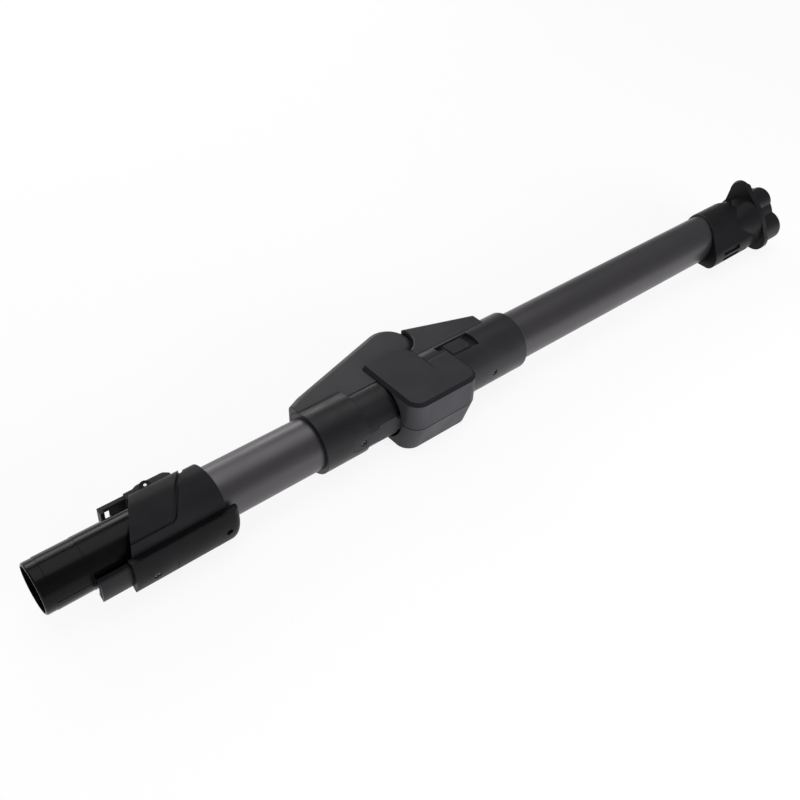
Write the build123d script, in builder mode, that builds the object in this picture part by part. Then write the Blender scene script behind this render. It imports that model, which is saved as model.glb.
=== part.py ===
from build123d import *
import os
from math import asin, atan2, cos, hypot, radians, sin, sqrt, tan

os.makedirs("parts", exist_ok=True)

# Flexible vacuum wand. X runs along the wand from the plug tip to the socket, Z is the hinge's direction,
# and the latch box and both contact pods are on the -Y side. All sizes are in millimetres.

# Fits
slip = 0.05  # radial gap where a fixed piece seats on a round face
play = 0.35  # gap between pieces that move past each other
pin_play = 0.05  # radial gap of a pin in the bore that turns on it
reach = 80.0  # past every outer face, for cuts that go right through

# Tubes
tube_r = 18.0
tube_wall = 1.2
tube_grip = 12.0  # length of tube held inside an end sleeve
joint_grip = 19.0  # length of tube held inside a joint sleeve
plug_tube_show = 71.0  # length of tube seen between its two sleeves
socket_tube_show = 232.0  # on the axis, where the socket end's rim is slanted
tube_bore_r = tube_r - tube_wall
sleeve_bore_r = tube_r + slip

# Plug pipe
pipe_r = 16.1
pipe_root_r = 16.35  # past the stretch that enters a socket
pipe_bore_r = 14.3
pipe_tip_r = 15.8
pipe_tip_length = 6.5
pipe_lead = 0.8
pipe_insert = 31.0  # length of the pipe's root inside the tube
line_width = 0.6  # moulded lines along the pipe
line_depth = 0.35

# Plug end sleeve, turned a little about the wand's axis
plug_turn = 8.0
plug_sleeve_r = 21.4
plug_sleeve_front = 58.3  # where its slanted front crosses the axis
plug_sleeve_end = 110.0
plug_front_slope = 0.5
sleeve_taper = 1.5  # length of the cone down to the tube
sleeve_lip = 0.6

# Saddle panel round the plug end sleeve, with a groove behind and below it
saddle_thick = 0.8
saddle_back = 86.5  # where its slanted back crosses the axis
saddle_back_slope = 0.7
saddle_edge = -13.3  # its long edges, in the sleeve's own cross direction
saddle_round = 4.0  # at the lower end of its back
groove_width = 3.2
groove_low = 1.2  # width of the groove under its long edges
groove_depth = 1.0

# Release lever over the plug pipe
lever_half = 9.6
lever_pin_x = 78.8
lever_pin_y = 20.2
lever_pin_r = 1.0
lever_ear = 1.8  # thickness of each ear that holds the pin
lever_ear_r = 3.4
lever_floor = 17.4  # flat cut on the sleeve under the lever
lever_under = 18.3
lever_top = 25.6
lever_end = 95.5
lever_heel_rise = 2.2  # how far the lever's underside rises towards its end, for its travel
tongue_half = 8.0
tongue_tip = 49.5
tongue_top = 23.0
tongue_thick = 2.6
claw_drop = 2.3
claw_length = 2.4
tongue_window = 8.5
tongue_bar = 3.0  # width of the bar all round the tongue's window
pad_start = 66.0
pad_ramp = 4.5  # length of the slope up to the finger pad
pad_heel = 5.0  # length of the slope down at its end
pad_lip = 1.4  # height left at its end
pad_round = 2.4
leaf_thick = 0.4
leaf_half = 3.0

# Contact pod and shroud on the plug end
plug_pod_r = 28.4
plug_pod_half = 29.0  # half angle about the axis
plug_pod_front = 46.0
plug_pod_end = 114.5
pod_flat = 0.95  # height left under the pod's domed end
pod_edge = 0.8
shroud_r = 24.6
shroud_inner_r = 19.5
shroud_half = 22.0
shroud_length = 18.0
contact_angle = 11.0  # between neighbouring contacts
contact_width = 2.6
contact_thick = 0.9
contact_length = 13.0
contact_room = 0.4
pod_hole_x = 105.0
pod_hole_r = 2.2
pod_hole_depth = 4.0
pod_seam_x = 71.5
pod_seam_width = 0.4
pod_seam_depth = 0.3

# Screws
screw_head_r = 2.2
screw_head_h = 1.0
screw_shank_r = 1.1
screw_shank = 2.2
screw_room = 0.25
screw_clear = 1.0  # of a screw's hole, past the skin
plug_pod_screw_x = 58.5
plug_pod_screw_angle = 187.0
tongue_screw_in = 9.0  # from the tongue's end to its screw
socket_sleeve_screw_in = 48.0  # from the sleeve's mouth to its screw
socket_pod_screw_in = 7.5  # from the end sleeve's neck to its screw

# Joint, plug side
joint_sleeve_r = 21.4
joint_sleeve_length = 33.0
neck_r = 18.8
neck_length = 48.0
hose_bore_r = 17.3
hinge_gap = 9.5  # from the neck's mouth to the hinge axis, along the wand
hinge_y = 31.0
knuckle_r = 17.0
hump_top = 18.8  # half height of the hump
hump_root_y = 25.2  # its back edge near the tube
hump_root_run = 9.0  # from the sleeve's end to that point
hump_foot_y = 4.8
hump_round = 5.0
hump_root_round = 8.0  # in plan, at the tube and where the back edge begins
hump_back_round = 20.0
cheek = 3.6  # thickness of each knuckle cheek
hinge_pin_r = 4.0
pin_cover = 1.3  # skin left over the pin in each cheek

# Lock tongue on the neck, flush in a raised band
band_r = 16.0  # round of the band, which fades into the neck
tongue_plate_r = 21.3
tongue_plate_root = 14.0  # how far it runs back over the joint sleeve
tongue_plate_step = 8.0  # from the sleeve's shoulder to its wider stretch
tongue_plate_end = 23.0  # to the end of that stretch
tongue_reach = 43.0  # to its tip in the latch box
tongue_plate_half = 5.0
tongue_plate_wide = 7.0
catch_in = 6.0  # from the tip to the catch window
catch_length = 5.0
catch_half = 3.5

# Joint, socket side
socket_joint_r = 21.6
socket_joint_gap = 5.5  # from the hinge axis to the sleeve's mouth, along the wand
socket_joint_length = 80.0
box_top = 21.5
box_plate = 2.3
box_wall = 2.4
box_ahead = 32.0  # from the hinge axis to the box's left side
box_behind = 25.5  # and to its right side
box_front = -35.0
box_corner = 10.0
box_chamfer = 2.2
box_draft = 18.0
box_doorway = -8.0  # edge of the left wall above and below the neck
box_seam = 0.4  # bevel along the parting line
ear_back = 19.5
ear_round = 12.0
ear_behind = 5.0  # from the hinge axis to the ear's right edge
wedge_foot_y = 7.5
wedge_foot = 6.0  # from the hinge axis to the wedge's toe beside the ear
wedge_corner_angle = 19.5
wedge_run = 65.0  # from the hinge axis to the wedge's low corner
wedge_end_y = 19.8
wedge_toe = 2.0
wedge_round = 2.5
lug_r = 11.0
lug_low = -8.5  # arm edges, from the hinge axis
lug_high = 5.2
top_line_width = 0.5
top_line_depth = 0.4
top_line_low = -12.0

# Release slider and lock pawl
slider_travel = 4.0
window_in = 23.5  # from the hinge axis to the slider's window
window_length = 25.0
window_low = -8.4
window_high = 5.4
window_floor = 18.0
slider_length = 18.5
slider_top = 19.9
slider_gap = 0.4
bridge_low = 0.0  # edges of the strip that joins the tab to the arm
bridge_high = 4.2
bridge_top = 19.3
notch_length = 5.0  # open stretch of the bridge's tunnel beside the window
arm_ahead = 9.0  # arm edges, ahead of and behind the hinge axis
arm_behind = 0.8
arm_low = -30.8
arm_foot = 10.0  # longer stretch of the arm, ahead of the hinge axis
arm_foot_width = 8.0
arm_bottom = 17.4
arm_top = 18.8
pawl_pin_behind = 16.5  # from the hinge axis
pawl_pin_y = -27.0
pawl_pin_r = 1.5
pawl_hub_r = 3.4
pawl_half = 3.2
pawl_nose_length = 4.0
pawl_arm = 1.9  # half width of the arm
post_ahead = 3.0  # from the hinge axis
post_r = 1.4
cam_slope = 0.2  # drop of the pawl's post for each length the slider moves
pawl_pin_low = -8.0

# Bellows hose
hose_r = 16.5
hose_root_r = 14.9
hose_wall = 0.7
hose_pitch = 8.0
cuff_length = 13.0
cuff_bore_r = 14.2

# Socket end, turned a little about the wand's axis
socket_turn = 18.0
end_sleeve_r = 19.7
end_sleeve_length = 38.0
end_rim_slope = 0.42
end_neck_r = 17.8
end_neck_length = 14.0
end_rim_round = 0.8
end_bore_r = 15.0
socket_grip = 15.0  # length of tube held inside the socket end
socket_pod_reach = 28.5
socket_pod_r = 10.5  # round of the pod's ridge
pod_step = 1.0  # drop of the ridge along the neck
pod_slots = 3
slot_angle = 33.0  # between neighbouring slots, about the ridge's own middle
slot_middle = -4.0  # of the middle slot, from the ridge's top
slot_width = 3.6
slot_depth = 2.0
slot_length = 22.0
slot_back = 37.0  # from the sleeve's neck to the slots' start
collar_length = 28.0
flange_thick = 5.0
flange_core_r = 18.5
petal_reach = 34.8
petal_r = 9.8
top_petal_angle = 64.0
bulge_r = 20.0  # fuller side of the flange, and of the flare that runs up to it
bulge_out = 7.5
bulge_angle = 142.0
flare_length = 24.0
flare_slope = 17.0
collar_core_r = 20.5
lobe_reach = 24.5
lobe_r = 11.0
small_lobe_angle = 45.0
small_lobe_r = 3.4
contact_lobe_reach = 31.5
contact_lobe_r = 13.0
lobe_round = 0.8
waist_round = 1.2
socket_bore_r = 16.25
pocket_room = 0.3  # round the shroud of a mating plug
pocket_turn = 1.0  # extra half angle of that pocket
pocket_depth = 19.0
seal_r = 17.0
seal_bore_r = 14.3
seal_thick = 3.0

# Stations along the wand that follow from the lengths above
shroud_start = plug_pod_front - shroud_length
pod_dome = plug_pod_r - plug_sleeve_r - slip - pod_flat
plug_tube_start = plug_sleeve_end - tube_grip
joint_start = plug_sleeve_end + plug_tube_show
plug_tube_end = joint_start + joint_grip
neck_start = joint_start + joint_sleeve_length
neck_end = neck_start + neck_length
hinge_x = neck_end + hinge_gap
socket_joint_start = hinge_x + socket_joint_gap
socket_joint_end = socket_joint_start + socket_joint_length
socket_tube_start = socket_joint_end - joint_grip
end_sleeve_start = socket_joint_end + socket_tube_show
socket_tube_end = end_sleeve_start + socket_grip
end_sleeve_end = end_sleeve_start + end_sleeve_length
collar_start = end_sleeve_end + end_neck_length
collar_end = collar_start + collar_length
hose_start = plug_tube_end + cuff_length
hose_end = socket_tube_start - cuff_length
insert_r = tube_bore_r - slip
tongue_start = neck_start - tongue_plate_root
tongue_tip_x = neck_start + tongue_reach
catch_x = tongue_tip_x - catch_in - catch_length
box_left = hinge_x - box_ahead
box_right = hinge_x + box_behind
window_left = hinge_x + window_in
slider_left = window_left + slider_gap
pawl_pin_x = hinge_x + pawl_pin_behind
post_x = hinge_x - post_ahead
ear_right = hinge_x + ear_behind
doorway_r = joint_sleeve_r + play + slip
wedge_top = sqrt(socket_joint_r**2 - wedge_foot_y**2)


def turned_section(turn):
    """Cross section of the wand, turned about its axis; its first direction is the side with the lever."""
    return Plane(
        origin=(0, 0, 0),
        x_dir=(0, cos(radians(turn)), sin(radians(turn))),
        z_dir=(1, 0, 0),
    )


# Sections and plans of the two ends
plug_section = turned_section(plug_turn)
plug_plan = Plane.XY.rotated((plug_turn, 0, 0))
socket_section = turned_section(socket_turn)
socket_plan = Plane.XY.rotated((socket_turn, 0, 0))


def ring_sector(outer, inner, half_angle):
    """Part of a ring about the wand's axis, centred on the contact side."""
    wide = reach * tan(radians(half_angle))
    with BuildSketch() as shape:
        Circle(outer)
        Circle(inner, mode=Mode.SUBTRACT)
        with BuildLine():
            Polyline((0, 0), (-reach, wide), (-reach, -wide), close=True)
        make_face(mode=Mode.INTERSECT)
    return shape.sketch


def slanted_band(front, front_slope, back, back_slope, low, corner):
    """Plan of a band between two slanted lines, above a lower edge, with a round where its back meets it."""
    with BuildSketch() as shape:
        with BuildLine():
            Polyline(
                (front + front_slope * low, low),
                (back + back_slope * low, low),
                (back + back_slope * reach, reach),
                (front + front_slope * reach, reach),
                close=True,
            )
        make_face()
        fillet(shape.vertices().group_by(Axis.Y)[0].sort_by(Axis.X)[-1], corner)
    return shape.sketch


def saddle_plan():
    """Side view of the saddle panel."""
    return slanted_band(
        plug_sleeve_front,
        plug_front_slope,
        saddle_back,
        saddle_back_slope,
        saddle_edge,
        saddle_round,
    )


def off_axis(edge):
    """Distance of an edge's middle from the wand's axis."""
    return hypot(edge.center().Y, edge.center().Z)


def radial_plane(x, radius, angle):
    """Plane on the wand's skin at a station and an angle about the axis, facing outwards."""
    out = Vector(0, cos(radians(angle)), sin(radians(angle)))
    return Plane(origin=Vector(x, 0, 0) + out * radius, x_dir=(1, 0, 0), z_dir=out)


def screw_on(plane):
    """Screw whose head lies just under the skin at a plane."""
    with BuildPart() as screw:
        with BuildSketch(plane.offset(-screw_head_h - screw_room)):
            Circle(screw_head_r)
        extrude(amount=screw_head_h)
        with BuildSketch(plane.offset(-screw_head_h - screw_room)):
            Circle(screw_shank_r)
        extrude(amount=-screw_shank)
    return screw.part


def screw_hole(plane):
    """Stepped hole for such a screw."""
    with BuildPart() as hole:
        with BuildSketch(plane.offset(-screw_head_h - screw_room)):
            Circle(screw_head_r + slip)
        extrude(amount=screw_head_h + screw_room + screw_clear)
        with BuildSketch(plane.offset(-screw_head_h - screw_room)):
            Circle(screw_shank_r + slip)
        extrude(amount=-screw_shank - slip)
    return hole.part


plug_pod_screw = radial_plane(plug_pod_screw_x, plug_pod_r, plug_turn + plug_pod_screw_angle)
tongue_screw = radial_plane(tongue_start + tongue_screw_in, tongue_plate_r, 180)
socket_sleeve_screw = radial_plane(socket_joint_start + socket_sleeve_screw_in, socket_joint_r, 180)
socket_pod_screw = radial_plane(
    end_sleeve_end - socket_pod_screw_in,
    socket_pod_reach,
    socket_turn + 180,
)

# Plug pipe, one moulding with its root inside the tube
with BuildPart() as plug_pipe:
    with BuildSketch(Plane.XY):
        with BuildLine():
            Polyline(
                (0, pipe_bore_r),
                (0, pipe_tip_r - pipe_lead),
                (pipe_lead, pipe_tip_r),
                (pipe_tip_length, pipe_tip_r),
                (pipe_tip_length, pipe_r),
                (shroud_start, pipe_r),
                (shroud_start, pipe_root_r),
                (plug_tube_start, pipe_root_r),
                (plug_tube_start, insert_r),
                (plug_tube_start + pipe_insert, insert_r),
                (plug_tube_start + pipe_insert, pipe_bore_r),
                close=True,
            )
        make_face()
    revolve(axis=Axis.X)
    with BuildSketch(plug_section.offset(pipe_tip_length)):
        with PolarLocations(pipe_r, 4, start_angle=90 - plug_turn):
            Rectangle(2 * line_depth, line_width)
    extrude(amount=shroud_start - pipe_tip_length, mode=Mode.SUBTRACT)
plug_pipe.part.label = "plug_pipe"
export_step(plug_pipe.part, "parts/plug_pipe.step")

# Plug end sleeve: a skin with the saddle's groove, over a core with the tube's seat and the lever's ears
with BuildPart() as plug_sleeve:
    with BuildSketch(Plane.YZ):
        Circle(plug_sleeve_r)
        Circle(plug_sleeve_r - groove_depth, mode=Mode.SUBTRACT)
    extrude(amount=plug_sleeve_end - sleeve_taper)
    with BuildSketch(plug_plan):
        add(
            slanted_band(
                plug_sleeve_front,
                plug_front_slope,
                saddle_back + groove_width,
                saddle_back_slope,
                saddle_edge - groove_low,
                saddle_round + groove_low,
            )
        )
        add(saddle_plan(), mode=Mode.SUBTRACT)
    extrude(amount=reach, both=True, mode=Mode.SUBTRACT)
    with BuildSketch(Plane.XY):
        with BuildLine():
            Polyline(
                (0, pipe_root_r + slip),
                (0, plug_sleeve_r - groove_depth),
                (plug_sleeve_end - sleeve_taper, plug_sleeve_r - groove_depth),
                (plug_sleeve_end - sleeve_taper, plug_sleeve_r),
                (plug_sleeve_end, sleeve_bore_r + sleeve_lip),
                (plug_sleeve_end, sleeve_bore_r),
                (plug_tube_start, sleeve_bore_r),
                (plug_tube_start, pipe_root_r + slip),
                close=True,
            )
        make_face()
    revolve(axis=Axis.X)
    with BuildSketch(plug_plan):
        with BuildLine():
            Polyline(
                (-reach, -reach),
                (plug_sleeve_front - plug_front_slope * reach, -reach),
                (plug_sleeve_front + plug_front_slope * reach, reach),
                (-reach, reach),
                close=True,
            )
        make_face()
    extrude(amount=reach, both=True, mode=Mode.SUBTRACT)
    with BuildSketch(plug_plan):
        with Locations((lever_end + play, lever_floor)):
            Rectangle(reach, reach, align=(Align.MAX, Align.MIN))
    extrude(amount=lever_half + play, both=True, mode=Mode.SUBTRACT)
    for side in (1, -1):
        with BuildSketch(plug_plan.offset(side * (lever_half + play))):
            with Locations((lever_pin_x, lever_pin_y)):
                Circle(lever_ear_r)
            with Locations((lever_pin_x, lever_floor)):
                Rectangle(2 * lever_ear_r, lever_pin_y - lever_floor, align=(Align.CENTER, Align.MIN))
        extrude(amount=side * lever_ear)
    with BuildSketch(plug_plan):
        with Locations((lever_pin_x, lever_pin_y)):
            Circle(lever_pin_r + slip)
    extrude(amount=reach, both=True, mode=Mode.SUBTRACT)
plug_sleeve.part.label = "plug_sleeve"
export_step(plug_sleeve.part, "parts/plug_sleeve.step")

# Side panels of the saddle, one above and one below the lever
with BuildPart() as plug_side_panels:
    with BuildSketch(Plane.YZ):
        Circle(plug_sleeve_r + slip + saddle_thick)
        Circle(plug_sleeve_r + slip, mode=Mode.SUBTRACT)
    extrude(amount=plug_sleeve_end)
    with BuildSketch(plug_plan):
        add(saddle_plan())
    extrude(amount=reach, both=True, mode=Mode.INTERSECT)
    with BuildSketch(plug_plan):
        Rectangle(4 * reach, reach, align=(Align.CENTER, Align.MIN))
    extrude(amount=lever_half + play + lever_ear + slip, both=True, mode=Mode.SUBTRACT)
plug_side_panels.part.label = "plug_side_panels"
export_step(plug_side_panels.part, "parts/plug_side_panels.step")

# Release lever: a finger pad on a pivot, with a windowed tongue and a claw
with BuildPart() as release_lever:
    with BuildSketch(plug_plan):
        with BuildLine():
            Polyline(
                (pad_start, lever_under),
                (lever_pin_x, lever_under),
                (lever_end, lever_under + lever_heel_rise),
                (lever_end, lever_under + lever_heel_rise + pad_lip),
                (lever_end - pad_heel, lever_top),
                (lever_pin_x - pad_ramp / 2, lever_top),
                (lever_pin_x - 3 * pad_ramp / 2, tongue_top),
                (pad_start, tongue_top),
                close=True,
            )
        make_face()
    extrude(amount=lever_half, both=True)
    fillet(release_lever.edges().filter_by(Axis.X).sort_by(off_axis)[-2:], pad_round)
    with BuildSketch(plug_plan):
        with Locations((lever_pin_x, lever_pin_y)):
            Circle(lever_pin_r + pin_play)
    extrude(amount=lever_half, both=True, mode=Mode.SUBTRACT)
    with BuildSketch(plug_plan):
        with Locations((tongue_tip, tongue_top)):
            Rectangle(pad_start - tongue_tip, tongue_thick, align=(Align.MIN, Align.MAX))
        with Locations((tongue_tip, tongue_top - tongue_thick)):
            Rectangle(claw_length, claw_drop, align=(Align.MIN, Align.MAX))
    extrude(amount=tongue_half, both=True)
    with BuildSketch(plug_plan):
        with Locations((tongue_tip + tongue_bar, tongue_top)):
            Rectangle(tongue_window, 2 * tongue_thick, align=(Align.MIN, Align.CENTER))
    extrude(amount=tongue_half - tongue_bar, both=True, mode=Mode.SUBTRACT)
release_lever.part.label = "release_lever"
export_step(release_lever.part, "parts/release_lever.step")

# Pivot pin of the lever
with BuildPart() as lever_pin:
    with BuildSketch(plug_plan):
        with Locations((lever_pin_x, lever_pin_y)):
            Circle(lever_pin_r)
    extrude(amount=lever_half + play + lever_ear, both=True)
lever_pin.part.label = "lever_pin"
export_step(lever_pin.part, "parts/lever_pin.step")

# Leaf spring that lifts the lever's pad
with BuildPart() as lever_spring:
    with BuildSketch(plug_plan):
        with BuildLine():
            Polyline(
                (pad_start + 2 * leaf_thick, lever_floor + slip),
                (lever_pin_x, lever_floor + slip),
                (lever_end - leaf_thick, lever_under + lever_heel_rise - leaf_thick - 3 * slip),
                (lever_end - leaf_thick, lever_under + lever_heel_rise - 3 * slip),
                (lever_pin_x, lever_floor + slip + leaf_thick),
                (pad_start + 2 * leaf_thick, lever_floor + slip + leaf_thick),
                close=True,
            )
        make_face()
    extrude(amount=leaf_half, both=True)
lever_spring.part.label = "lever_spring"
export_step(lever_spring.part, "parts/lever_spring.step")

def pod_profile(start, end, outer, inner):
    """Length profile of a contact pod whose far outer corner is rounded."""
    with BuildSketch() as shape:
        with Locations((start, inner)):
            Rectangle(end - start, outer - inner, align=(Align.MIN, Align.MIN))
        fillet(shape.vertices().group_by(Axis.Y)[-1].sort_by(Axis.X)[-1], pod_dome)
    return shape.sketch


# Contact pod along the plug end sleeve, with a domed end
with BuildPart() as plug_pod:
    with BuildSketch(plug_plan.rotated((180 - plug_pod_half, 0, 0))):
        add(pod_profile(plug_pod_front, plug_pod_end, plug_pod_r, plug_sleeve_r + slip))
    revolve(axis=Axis.X, revolution_arc=2 * plug_pod_half)
    fillet(plug_pod.edges().filter_by(Axis.X).sort_by(off_axis)[-2:], pod_edge)
    with BuildSketch(radial_plane(pod_hole_x, plug_pod_r, plug_turn + 180)):
        Circle(pod_hole_r)
    extrude(amount=-pod_hole_depth, mode=Mode.SUBTRACT)
    with BuildSketch(plug_plan.rotated((180, 0, 0))):
        with Locations((pod_seam_x, plug_pod_r)):
            Rectangle(pod_seam_width, 2 * pod_seam_depth)
    revolve(axis=Axis.X, revolution_arc=2 * plug_pod_half, mode=Mode.SUBTRACT)
    add(screw_hole(plug_pod_screw), mode=Mode.SUBTRACT)
plug_pod.part.label = "plug_pod"
export_step(plug_pod.part, "parts/plug_pod.step")

# Shroud in front of the pod, with a pocket for each contact
with BuildPart() as plug_shroud:
    with BuildSketch(plug_plan.rotated((180 - shroud_half, 0, 0))):
        with Locations((plug_pod_front, shroud_inner_r)):
            Rectangle(shroud_length, shroud_r - shroud_inner_r, align=(Align.MAX, Align.MIN))
    revolve(axis=Axis.X, revolution_arc=2 * shroud_half)
    fillet(plug_shroud.edges().filter_by(Axis.X).sort_by(off_axis)[-2:], pod_edge)
    with BuildSketch(plug_section.offset(shroud_start)):
        for turn in (-contact_angle, 0, contact_angle):
            with PolarLocations((shroud_r + shroud_inner_r) / 2, 1, start_angle=180 + turn):
                Rectangle(contact_thick + 2 * contact_room, contact_width + 2 * contact_room)
    extrude(amount=contact_length + contact_room, mode=Mode.SUBTRACT)
plug_shroud.part.label = "plug_shroud"
export_step(plug_shroud.part, "parts/plug_shroud.step")

# Contacts at the bottom of those pockets
with BuildPart() as plug_contacts:
    with BuildSketch(plug_section.offset(shroud_start + 2 * contact_room)):
        for turn in (-contact_angle, 0, contact_angle):
            with PolarLocations((shroud_r + shroud_inner_r) / 2, 1, start_angle=180 + turn):
                Rectangle(contact_thick, contact_width)
    extrude(amount=contact_length - contact_room)
plug_contacts.part.label = "plug_contacts"
export_step(plug_contacts.part, "parts/plug_contacts.step")

# Tube of the plug half
with BuildPart() as plug_tube:
    with BuildSketch(Plane.YZ.offset(plug_tube_start)):
        Circle(tube_r)
        Circle(tube_bore_r, mode=Mode.SUBTRACT)
    extrude(amount=plug_tube_end - plug_tube_start)
plug_tube.part.label = "plug_tube"
export_step(plug_tube.part, "parts/plug_tube.step")


def tongue_plan(room):
    """Front view of the lock tongue, with room all round for its recess."""
    with BuildSketch() as shape:
        with Locations((tongue_start + tongue_plate_half, 0)):
            Circle(tongue_plate_half + room)
            Rectangle(
                tongue_tip_x - tongue_start - tongue_plate_half + room,
                2 * (tongue_plate_half + room),
                align=(Align.MIN, Align.CENTER),
            )
        with Locations((neck_start + tongue_plate_step - room, 0)):
            Rectangle(
                tongue_plate_end - tongue_plate_step + 2 * room,
                2 * (tongue_plate_wide + room),
                align=(Align.MIN, Align.CENTER),
            )
    return shape.sketch


def tongue_recess():
    """Recess down to the neck's own radius, in the shape of the lock tongue."""
    with BuildPart() as recess:
        with BuildSketch(Plane.YZ.offset(neck_start - reach)):
            Circle(reach)
            Circle(neck_r, mode=Mode.SUBTRACT)
        extrude(amount=2 * reach)
        with BuildSketch(Plane.XZ):
            add(tongue_plan(slip))
        extrude(amount=reach, mode=Mode.INTERSECT)
    return recess.part


# Joint sleeve and neck of the plug half, with a recess for the lock tongue
with BuildPart() as plug_joint_sleeve:
    with BuildSketch(Plane.XY):
        with BuildLine():
            Polyline(
                (joint_start, sleeve_bore_r),
                (joint_start, joint_sleeve_r),
                (neck_start, joint_sleeve_r),
                (neck_start, hose_bore_r),
                (plug_tube_end, hose_bore_r),
                (plug_tube_end, sleeve_bore_r),
                close=True,
            )
        make_face()
    revolve(axis=Axis.X)
    fillet(plug_joint_sleeve.edges().group_by(Axis.X)[0].sort_by(SortBy.RADIUS)[-1], sleeve_lip)
    with BuildSketch(turned_section(0).offset(neck_start)):
        Circle(neck_r)
        with Locations((band_r - joint_sleeve_r, 0)):
            Circle(band_r)
        make_hull()
        Circle(hose_bore_r, mode=Mode.SUBTRACT)
    extrude(amount=tongue_plate_end)
    with BuildSketch(Plane.YZ.offset(neck_start + tongue_plate_end)):
        Circle(neck_r)
        Circle(hose_bore_r, mode=Mode.SUBTRACT)
    extrude(amount=neck_length - tongue_plate_end)
    add(tongue_recess(), mode=Mode.SUBTRACT)
    add(screw_hole(tongue_screw), mode=Mode.SUBTRACT)
plug_joint_sleeve.part.label = "plug_joint_sleeve"
export_step(plug_joint_sleeve.part, "parts/plug_joint_sleeve.step")

# Lock tongue: a curved plate screwed to the sleeve, whose end lies in the latch box
with BuildPart() as lock_tongue:
    with BuildSketch(Plane.YZ.offset(tongue_start)):
        Circle(tongue_plate_r)
        Circle(neck_r + slip, mode=Mode.SUBTRACT)
    extrude(amount=tongue_tip_x - tongue_start)
    with BuildSketch(Plane.XZ):
        add(tongue_plan(0))
        with Locations((catch_x, 0)):
            Rectangle(catch_length, 2 * catch_half, align=(Align.MIN, Align.CENTER), mode=Mode.SUBTRACT)
    extrude(amount=reach, mode=Mode.INTERSECT)
    add(screw_hole(tongue_screw), mode=Mode.SUBTRACT)
lock_tongue.part.label = "lock_tongue"
export_step(lock_tongue.part, "parts/lock_tongue.step")

# Hump of the plug half: a tapering arm on the sleeve and neck that ends in a forked knuckle
edge_run = hinge_x - joint_start - hump_root_run
edge_rise = hinge_y - hump_root_y
edge_angle = asin(knuckle_r / hypot(edge_run, edge_rise)) + atan2(edge_rise, edge_run)
with BuildPart() as plug_hinge_cover:
    with BuildSketch(Plane.XY.offset(-hump_top)) as hump_plan:
        with Locations((hinge_x, hinge_y)):
            Circle(knuckle_r)
        with BuildLine():
            Polyline(
                (joint_start + sleeve_lip, hump_foot_y),
                (hinge_x, hump_foot_y),
                (hinge_x, hinge_y),
                (hinge_x - knuckle_r * sin(edge_angle), hinge_y + knuckle_r * cos(edge_angle)),
                (joint_start + hump_root_run, hump_root_y),
                (joint_start + sleeve_lip, joint_sleeve_r),
                close=True,
            )
        make_face()
        root = [corner for corner in hump_plan.vertices() if corner.X < joint_start + hump_root_run + slip]
        root.sort(key=lambda corner: corner.Y)
        fillet(root[-1], hump_back_round)
        fillet(root[-2], hump_root_round)
    extrude(amount=2 * hump_top)
    back_edges = plug_hinge_cover.edges().filter_by(
        lambda edge: abs(edge.center().Z) > hump_top - slip and edge.center().Y > joint_sleeve_r
    )
    fillet(back_edges, hump_round)
    with BuildSketch(Plane.YZ.offset(neck_start)):
        Circle(neck_r + slip)
    extrude(amount=reach, mode=Mode.SUBTRACT)
    with BuildSketch(Plane.YZ.offset(neck_start)):
        Circle(joint_sleeve_r + slip)
    extrude(amount=-reach, mode=Mode.SUBTRACT)
    with BuildSketch(Plane.XY):
        with Locations((hinge_x, hinge_y)):
            Circle(lug_r + play)
        with Locations((hinge_x - lug_r - play, hinge_y)):
            Rectangle(reach, reach, align=(Align.MIN, Align.MIN))
        with Locations((hinge_x, hinge_y - lug_r - play)):
            Rectangle(reach, reach, align=(Align.MIN, Align.MIN))
    extrude(amount=hump_top - cheek, both=True, mode=Mode.SUBTRACT)
    with BuildSketch(Plane.XY):
        with Locations((hinge_x, hinge_y)):
            Circle(hinge_pin_r + pin_play)
    extrude(amount=hump_top - pin_cover, both=True, mode=Mode.SUBTRACT)
plug_hinge_cover.part.label = "plug_hinge_cover"
export_step(plug_hinge_cover.part, "parts/plug_hinge_cover.step")

# Cuffs that hold the bellows hose against the ends of the two tubes
with BuildPart() as plug_hose_cuff:
    with BuildSketch(Plane.YZ.offset(plug_tube_end)):
        Circle(hose_bore_r - slip)
        Circle(cuff_bore_r, mode=Mode.SUBTRACT)
    extrude(amount=cuff_length)
plug_hose_cuff.part.label = "plug_hose_cuff"
export_step(plug_hose_cuff.part, "parts/plug_hose_cuff.step")

with BuildPart() as socket_hose_cuff:
    with BuildSketch(Plane.YZ.offset(hose_end)):
        Circle(hose_bore_r - slip)
        Circle(cuff_bore_r, mode=Mode.SUBTRACT)
    extrude(amount=cuff_length)
socket_hose_cuff.part.label = "socket_hose_cuff"
export_step(socket_hose_cuff.part, "parts/socket_hose_cuff.step")

# Bellows hose between the cuffs, with a pleat at each pitch
pleats = int((hose_end - hose_start) / hose_pitch)
half_pleat = (hose_end - hose_start) / (2 * pleats)
ridge_line = [(hose_start + 2 * i * half_pleat, hose_root_r) for i in range(pleats + 1)]
crest_line = [(hose_start + (2 * i + 1) * half_pleat, hose_r) for i in range(pleats)]
outer_line = sorted(ridge_line + crest_line)
inner_line = [(x, r - hose_wall) for x, r in reversed(outer_line)]
with BuildPart() as bellows_hose:
    with BuildSketch(Plane.XY):
        with BuildLine():
            Polyline(*outer_line, *inner_line, close=True)
        make_face()
    revolve(axis=Axis.X)
bellows_hose.part.label = "bellows_hose"
export_step(bellows_hose.part, "parts/bellows_hose.step")

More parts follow.
